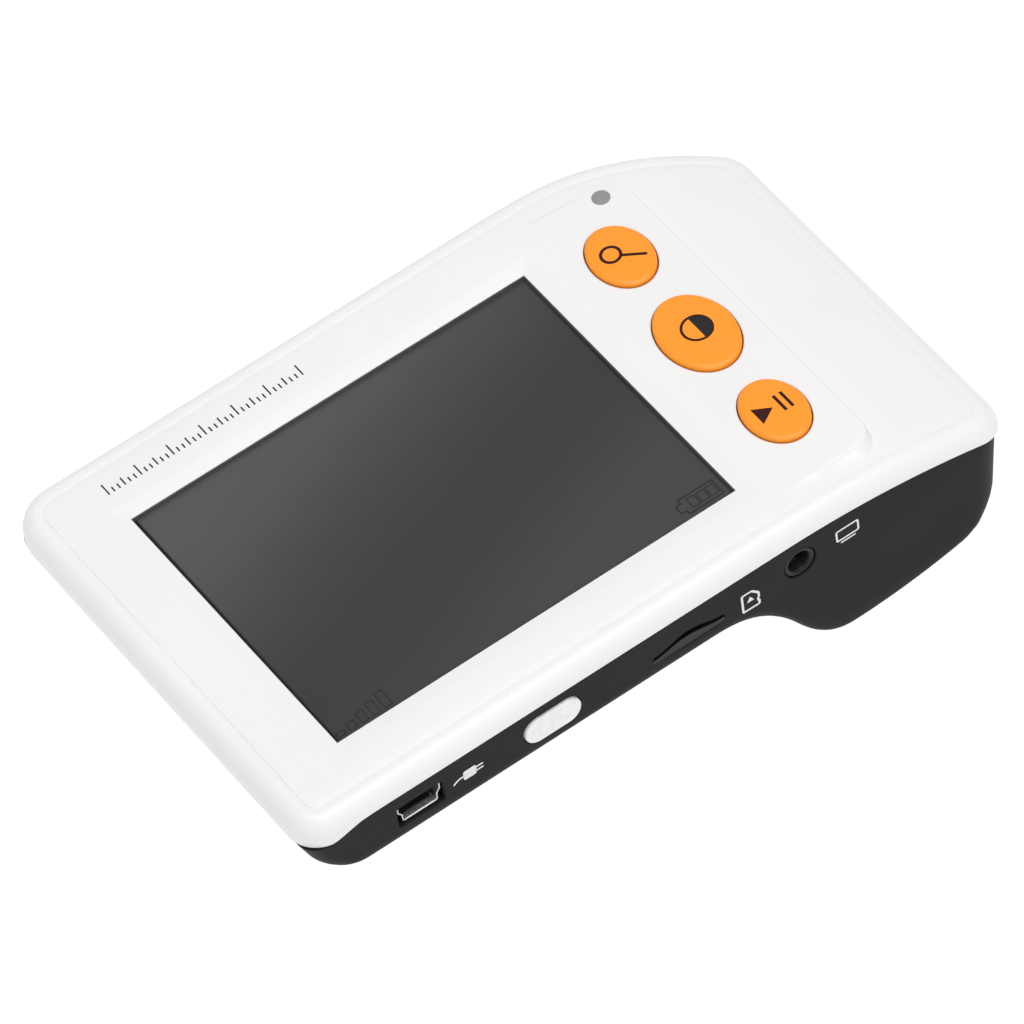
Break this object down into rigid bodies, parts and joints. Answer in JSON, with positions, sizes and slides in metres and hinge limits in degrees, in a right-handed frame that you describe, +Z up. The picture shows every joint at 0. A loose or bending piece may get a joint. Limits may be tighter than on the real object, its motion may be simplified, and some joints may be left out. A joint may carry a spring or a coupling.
{
  "type": "electronic low vision magnifier",
  "caption": "Hand-held electronic magnifier: white and black shells around a screen, keys above, sockets in the side and a camera in the deep end.",
  "frame": {"origin": "centre of the footprint's bounding box, on the surface it lies on", "axes": "+X along the body from the slim end to the deep end, +Y to the long side without sockets, +Z up; it lies on its swell and on the bottom edge of its slim end, so the top face leans 10.89 degrees about Y"},
  "size_m": [0.1248, 0.0792, 0.0327],
  "materials": {
    "white_shell": "fine satin white moulding",
    "black_shell": "fine matte texture",
    "window_glass": "smoked clear cover",
    "clear_window": "clear",
    "lens_glass": "coated",
    "lcd_glass": "dark panel, off",
    "white_inner": "diffuse",
    "black_foam": "foam",
    "steel": "plated",
    "dark_screw": "blackened",
    "gold": "gold plated contacts",
    "flex": "amber ribbon",
    "circuit_board": "green solder mask",
    "white_board": "white solder mask",
    "black_parts": "moulded",
    "sensor": "sensor cover glass",
    "led": "phosphor",
    "light_pipe": "grey tinted light pipe",
    "orange_key": "satin orange",
    "pearl_key": "pearl white",
    "silicone": "translucent silicone",
    "battery_wrap": "blue wrap"
  },
  "bodies": {
    "housing": {"top_shell": "white_shell", "display_window": "window_glass", "window_adhesive": "black_foam", "lcd_gasket": "black_foam", "lcd_glass": "lcd_glass", "lcd_backlight": "white_inner", "lcd_frame": "steel", "lcd_flex": "flex", "keypad_membrane": "silicone", "key_board": "circuit_board", "key_switches": "steel", "key_flex": "flex", "key_board_screws": "steel", "status_light_pipe": "light_pipe", "status_led": "led", "main_board": "circuit_board", "board_chips": "black_parts", "board_screws": "steel", "usb_port_shell": "steel", "usb_port_tongue": "black_parts", "card_socket": "steel", "tv_out_jack": "black_parts", "power_switch": "black_parts", "bottom_shell": "black_shell", "battery": "battery_wrap", "battery_contacts": "gold", "camera_window": "clear_window", "led_board": "white_board", "white_leds": "led", "light_baffle": "black_parts", "camera_barrel": "black_parts", "camera_lens": "lens_glass", "camera_holder": "black_parts", "camera_board": "circuit_board", "image_sensor": "sensor", "camera_flex": "flex", "camera_screws": "steel", "case_screws": "dark_screw"},
    "zoom_key": {"zoom_button": "orange_key"},
    "contrast_key": {"contrast_button": "orange_key"},
    "freeze_key": {"freeze_button": "orange_key"},
    "power_key": {"power_button": "pearl_key"},
    "battery_door": {"battery_cover": "black_shell"}
  },
  "joints": [
    {"name": "zoom_press", "type": "slide", "parent": "housing", "child": "zoom_key", "axis": [0.1889, 0, -0.982], "range_m": [0, 0.0005], "stiffness_N_per_m": 2400, "springref_m": -0.0003},
    {"name": "contrast_press", "type": "slide", "parent": "housing", "child": "contrast_key", "axis": [0.1889, 0, -0.982], "range_m": [0, 0.0005], "stiffness_N_per_m": 2400, "springref_m": -0.0003},
    {"name": "freeze_press", "type": "slide", "parent": "housing", "child": "freeze_key", "axis": [0.1889, 0, -0.982], "range_m": [0, 0.0005], "stiffness_N_per_m": 2400, "springref_m": -0.0003},
    {"name": "power_press", "type": "slide", "parent": "housing", "child": "power_key", "axis": [0, 1, 0], "range_m": [0, 0.0005], "stiffness_N_per_m": 2400, "springref_m": -0.0003},
    {"name": "battery_door_hinge", "type": "hinge", "parent": "housing", "child": "battery_door", "pos_m": [0.00496, 0.01443, 0.01163], "axis": [0, -1, 0], "range_deg": [0, 85]}
  ]
}
